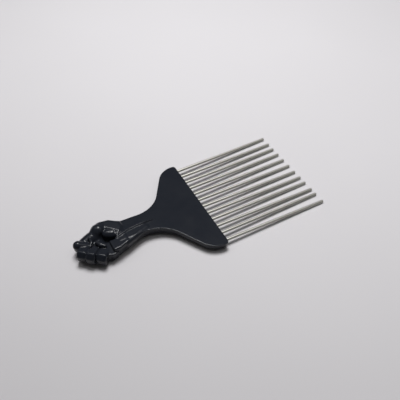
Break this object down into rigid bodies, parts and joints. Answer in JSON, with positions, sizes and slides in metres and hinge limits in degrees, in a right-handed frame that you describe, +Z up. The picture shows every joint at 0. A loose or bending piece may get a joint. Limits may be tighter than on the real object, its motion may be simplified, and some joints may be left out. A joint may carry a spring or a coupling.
{
  "type": "afro pick",
  "caption": "Long-toothed hair pick with round metal wire teeth in a flat moulded plastic head and a raised clenched fist as its handle.",
  "frame": {"origin": "middle of the bottom of the whole pick as it lies on a table, on the fist and the tips of the teeth", "axes": "+X from the fist towards the tips of the teeth, +Y across the head towards the first tooth, +Z up, out of the face that shows the curled fingers"},
  "size_m": [0.1491, 0.0688, 0.0117],
  "materials": {
    "handle_plastic": "satin black injection-moulded polystyrene, glossier on the fist",
    "tooth_steel": "bright drawn wire with faint lengthwise drawing marks"
  },
  "bodies": {
    "root": {"handle": "handle_plastic", "tooth_01": "tooth_steel", "tooth_02": "tooth_steel", "tooth_03": "tooth_steel", "tooth_04": "tooth_steel", "tooth_05": "tooth_steel", "tooth_06": "tooth_steel", "tooth_07": "tooth_steel", "tooth_08": "tooth_steel", "tooth_09": "tooth_steel", "tooth_10": "tooth_steel", "tooth_11": "tooth_steel", "tooth_12": "tooth_steel"}
  },
  "joints": []
}
